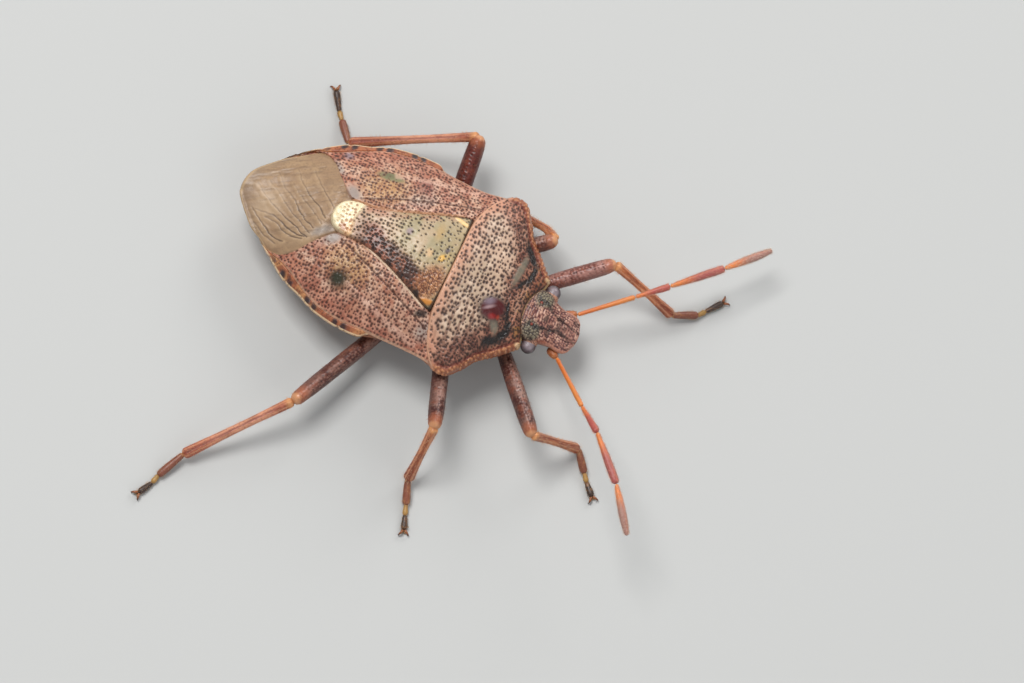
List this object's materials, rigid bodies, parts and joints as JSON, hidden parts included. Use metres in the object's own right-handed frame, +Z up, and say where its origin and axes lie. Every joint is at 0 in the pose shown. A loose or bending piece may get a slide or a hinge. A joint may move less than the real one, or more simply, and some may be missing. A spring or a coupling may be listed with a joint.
{
  "type": "shield bug",
  "caption": "Life-size standing shield bug with jointed-looking legs, segmented feelers, broad shouldered shield, long scutellum with a pale tip and veined wing membrane.",
  "frame": {"origin": "middle of the bounding box in plan, at the level of the soles of the feet", "axes": "+Z up, the head towards -Y, the bug's own left towards +X"},
  "size_m": [0.018, 0.0178, 0.0042],
  "materials": {
    "abdomen": "satin cuticle with dark pits",
    "antenna": "satin, orange, covered with very short pale hairs",
    "beak": "satin cuticle with dark pits",
    "corium": "satin cuticle with dark pits",
    "coxa": "satin cuticle with dark pits",
    "eye": "glossy, dark grey-brown, faceted",
    "femur": "satin cuticle with dark pits",
    "head": "satin cuticle with dark pits",
    "pronotum": "satin cuticle with dark pits",
    "prosternum": "satin cuticle with dark pits",
    "scutellum": "satin cuticle with dark pits",
    "tarsus": "satin cuticle with dark pits",
    "thorax": "satin cuticle with dark pits",
    "tibia": "satin cuticle with dark pits",
    "wing_membrane": "thin, satin, translucent brown with raised veins"
  },
  "bodies": {
    "root": {"abdomen": "abdomen", "antenna_left_1": "antenna", "antenna_left_2": "antenna", "antenna_left_3": "antenna", "antenna_left_4": "antenna", "antenna_left_5": "antenna", "antenna_right_1": "antenna", "antenna_right_2": "antenna", "antenna_right_3": "antenna", "antenna_right_4": "antenna", "antenna_right_5": "antenna", "beak": "beak", "corium_left": "corium", "corium_right": "corium", "coxa_front_left": "coxa", "coxa_front_right": "coxa", "coxa_hind_left": "coxa", "coxa_hind_right": "coxa", "coxa_middle_left": "coxa", "coxa_middle_right": "coxa", "eye_left": "eye", "eye_right": "eye", "femur_front_left": "femur", "femur_front_right": "femur", "femur_hind_left": "femur", "femur_hind_right": "femur", "femur_middle_left": "femur", "femur_middle_right": "femur", "head": "head", "pronotum": "pronotum", "prosternum": "prosternum", "scutellum": "scutellum", "tarsus_front_left": "tarsus", "tarsus_front_right": "tarsus", "tarsus_hind_left": "tarsus", "tarsus_hind_right": "tarsus", "tarsus_middle_left": "tarsus", "tarsus_middle_right": "tarsus", "thorax": "thorax", "tibia_front_left": "tibia", "tibia_front_right": "tibia", "tibia_hind_left": "tibia", "tibia_hind_right": "tibia", "tibia_middle_left": "tibia", "tibia_middle_right": "tibia", "wing_membrane": "wing_membrane"}
  },
  "joints": []
}
